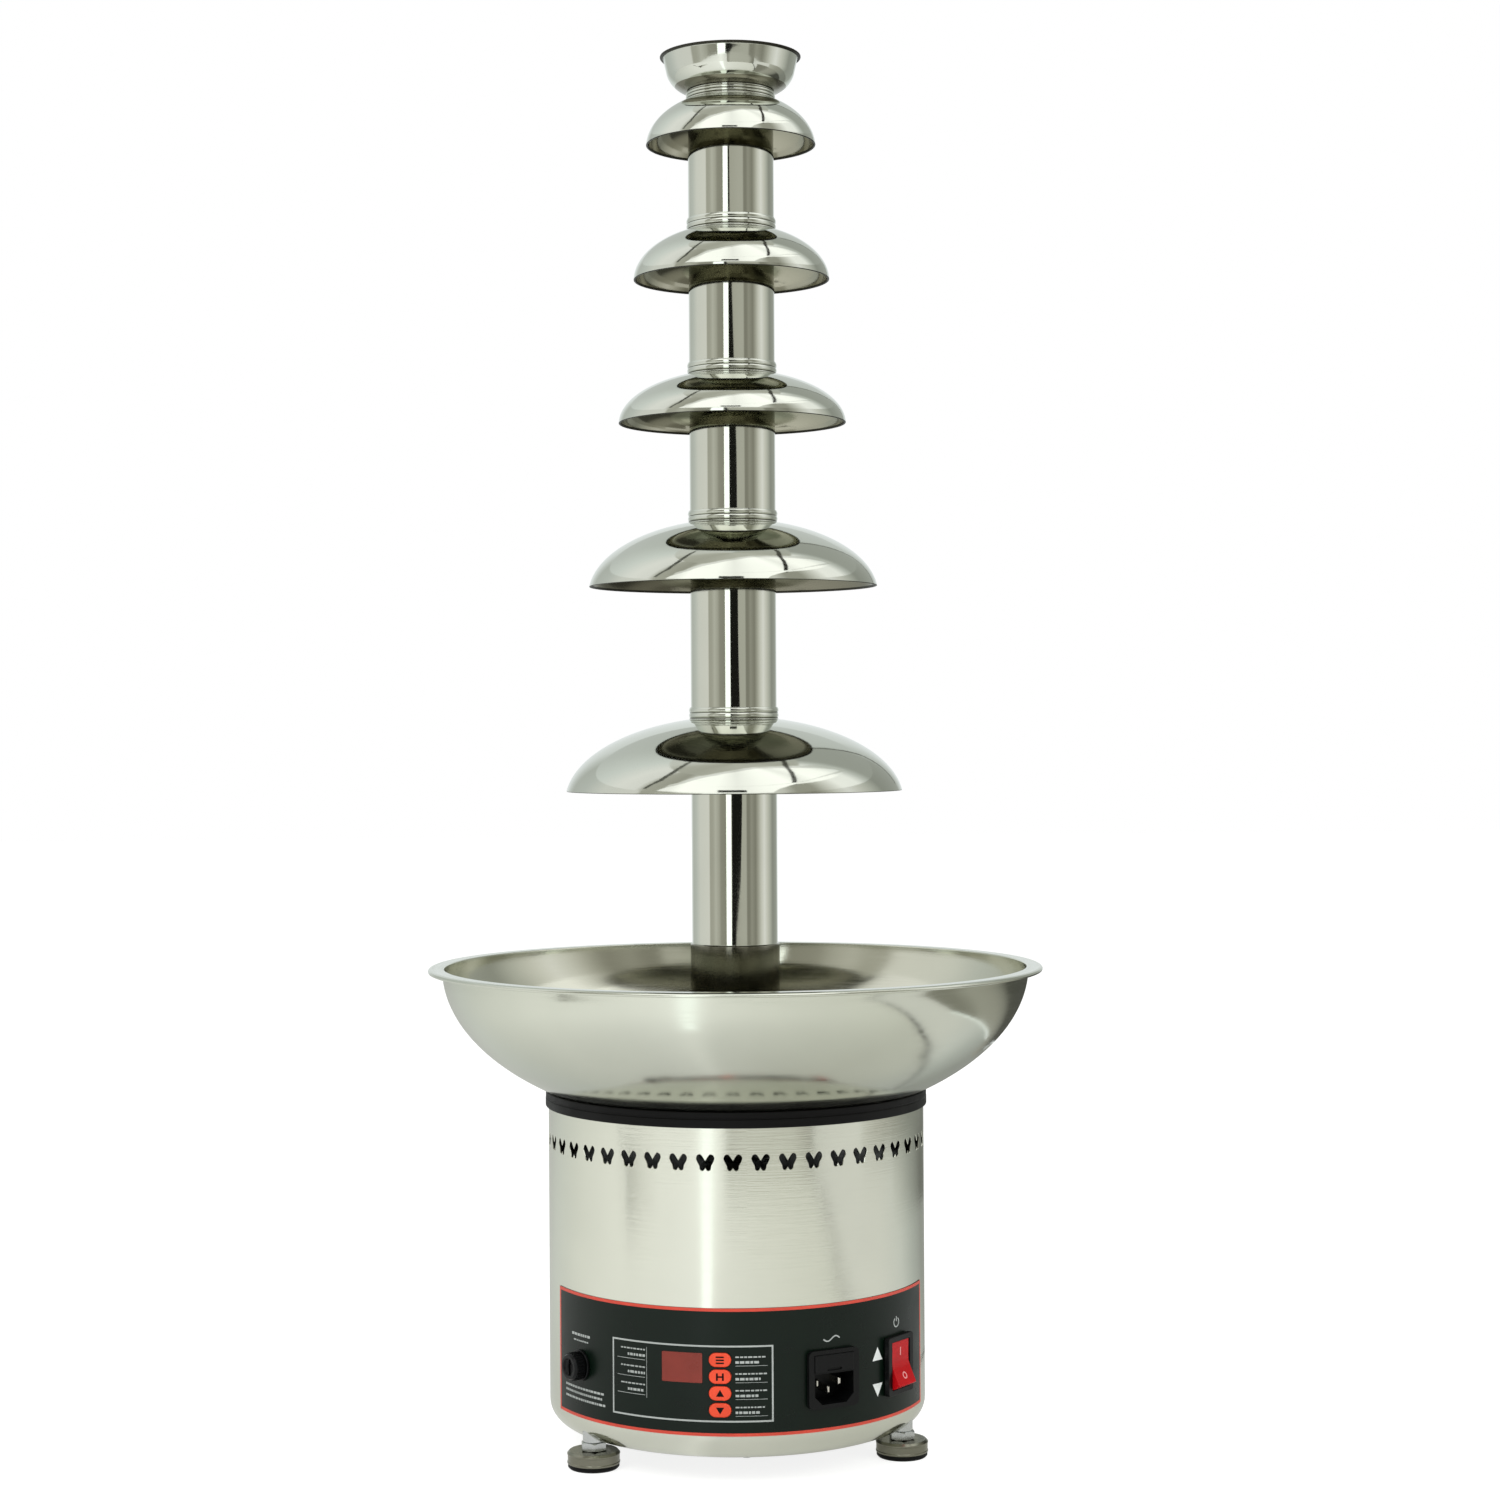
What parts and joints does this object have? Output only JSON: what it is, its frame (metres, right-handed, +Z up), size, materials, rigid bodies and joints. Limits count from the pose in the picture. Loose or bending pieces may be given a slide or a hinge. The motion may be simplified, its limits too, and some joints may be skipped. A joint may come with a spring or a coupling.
{
  "type": "chocolate fountain",
  "caption": "Tall tiered chocolate fountain with polished bells stacked on a tube tower, a wide bowl and a round motor base with a control panel.",
  "frame": {"origin": "on the floor, under the tower's axis", "axes": "+Z up along the tower, -Y towards the control panel, +X to the right of someone who faces the panel"},
  "size_m": [0.35, 0.35, 0.791],
  "materials": {
    "polished_steel": "mirror polished stainless",
    "plain_steel": "plain stainless sheet and bright nuts",
    "aluminium_can": "cast and turned aluminium",
    "motor_paint": "black motor paint",
    "black_rubber": "matte black rubber",
    "black_plastic": "black nylon",
    "panel_film": "black printed film",
    "display_red": "dark red window",
    "key_orange": "orange red keys",
    "rocker_red": "red rocker",
    "white_nylon": "white food grade nylon",
    "bronze": "sintered bronze",
    "board_green": "circuit board",
    "wire_red": "wire insulation",
    "insulation_felt": "woven heat insulation",
    "clear_glass": "glass tube"
  },
  "bodies": {
    "base": {"base_shell": "polished_steel", "bottom_plate": "plain_steel", "chassis_screws": "plain_steel", "foot_bushes": "plain_steel", "foot_locknuts": "plain_steel", "motor_plate": "plain_steel", "support_plate": "plain_steel", "bowl_gasket": "black_rubber", "bowl": "polished_steel", "bowl_hub": "plain_steel", "hub_nut": "plain_steel", "shaft_bush": "bronze", "shaft_seal": "black_rubber", "heater_ring": "aluminium_can", "heater_insulation": "insulation_felt", "temperature_sensor": "plain_steel", "thermal_cutout": "plain_steel", "gearbox": "aluminium_can", "motor": "motor_paint", "panel_overlay": "panel_film", "display_window": "display_red", "display_module": "black_plastic", "control_board": "board_green", "board_spacers": "white_nylon", "inlet_housing": "black_plastic", "inlet_pins": "plain_steel", "switch_housing": "black_plastic", "fuse_holder": "black_plastic", "power_board": "board_green", "wiring": "wire_red"},
    "drive": {"gearbox_shaft": "plain_steel", "shaft_coupling": "plain_steel", "drive_shaft": "plain_steel"},
    "auger": {"auger_core": "white_nylon", "auger_flight": "white_nylon"},
    "tier_1": {"tube_1": "polished_steel", "bell_1": "polished_steel"},
    "tier_2": {"tube_2": "polished_steel", "bell_2": "polished_steel"},
    "tier_3": {"tube_3": "polished_steel", "bell_3": "polished_steel"},
    "tier_4": {"tube_4": "polished_steel", "bell_4": "polished_steel"},
    "tier_5": {"tube_5": "polished_steel", "bell_5": "polished_steel"},
    "crown": {"crown": "polished_steel"},
    "key_1": {"key_1": "key_orange"},
    "key_2": {"key_2": "key_orange"},
    "key_3": {"key_3": "key_orange"},
    "key_4": {"key_4": "key_orange"},
    "rocker": {"rocker": "rocker_red"},
    "fuse_cap": {"fuse_cap": "black_plastic", "glass_fuse": "clear_glass"},
    "fuse_drawer": {"fuse_drawer": "black_plastic"},
    "foot_1": {"foot_1": "polished_steel", "foot_pad_1": "black_rubber"},
    "foot_2": {"foot_2": "polished_steel", "foot_pad_2": "black_rubber"},
    "foot_3": {"foot_3": "polished_steel", "foot_pad_3": "black_rubber"}
  },
  "joints": [
    {"name": "drive_spin", "type": "hinge", "parent": "base", "child": "drive", "pos_m": [0, 0, 0.19], "axis": [0, 0, 1], "continuous": true},
    {"name": "auger_lift", "type": "slide", "parent": "drive", "child": "auger", "axis": [0, 0, 1], "range_m": [0, 0.6]},
    {"name": "tier_1_lift", "type": "slide", "parent": "base", "child": "tier_1", "axis": [0, 0, 1], "range_m": [0, 0.58]},
    {"name": "tier_2_lift", "type": "slide", "parent": "tier_1", "child": "tier_2", "axis": [0, 0, 1], "range_m": [0, 0.37]},
    {"name": "tier_3_lift", "type": "slide", "parent": "tier_2", "child": "tier_3", "axis": [0, 0, 1], "range_m": [0, 0.255]},
    {"name": "tier_4_lift", "type": "slide", "parent": "tier_3", "child": "tier_4", "axis": [0, 0, 1], "range_m": [0, 0.17]},
    {"name": "tier_5_lift", "type": "slide", "parent": "tier_4", "child": "tier_5", "axis": [0, 0, 1], "range_m": [0, 0.09]},
    {"name": "crown_lift", "type": "slide", "parent": "tier_5", "child": "crown", "axis": [0, 0, 1], "range_m": [0, 0.03]},
    {"name": "key_1_press", "type": "slide", "parent": "base", "child": "key_1", "axis": [0.1392, 0.9903, 0], "range_m": [0, 0.001], "stiffness_N_per_m": 600},
    {"name": "key_2_press", "type": "slide", "parent": "base", "child": "key_2", "axis": [0.1392, 0.9903, 0], "range_m": [0, 0.001], "stiffness_N_per_m": 600},
    {"name": "key_3_press", "type": "slide", "parent": "base", "child": "key_3", "axis": [0.1392, 0.9903, 0], "range_m": [0, 0.001], "stiffness_N_per_m": 600},
    {"name": "key_4_press", "type": "slide", "parent": "base", "child": "key_4", "axis": [0.1392, 0.9903, 0], "range_m": [0, 0.001], "stiffness_N_per_m": 600},
    {"name": "rocker_tilt", "type": "hinge", "parent": "base", "child": "rocker", "pos_m": [0.08358, -0.06649, 0.0568], "axis": [0.6225, 0.7826, 0], "range_deg": [0, 24]},
    {"name": "fuse_cap_turn", "type": "hinge", "parent": "base", "child": "fuse_cap", "pos_m": [-0.08912, -0.06011, 0.0574], "axis": [-0.829, -0.5592, 0], "range_deg": [0, 90]},
    {"name": "fuse_drawer_slide", "type": "slide", "parent": "base", "child": "fuse_drawer", "axis": [0.4258, -0.9048, 0], "range_m": [0, 0.014]},
    {"name": "foot_1_level", "type": "slide", "parent": "base", "child": "foot_1", "axis": [0, 0, -1], "range_m": [0, 0.01]},
    {"name": "foot_2_level", "type": "slide", "parent": "base", "child": "foot_2", "axis": [0, 0, -1], "range_m": [0, 0.01]},
    {"name": "foot_3_level", "type": "slide", "parent": "base", "child": "foot_3", "axis": [0, 0, -1], "range_m": [0, 0.01]}
  ]
}
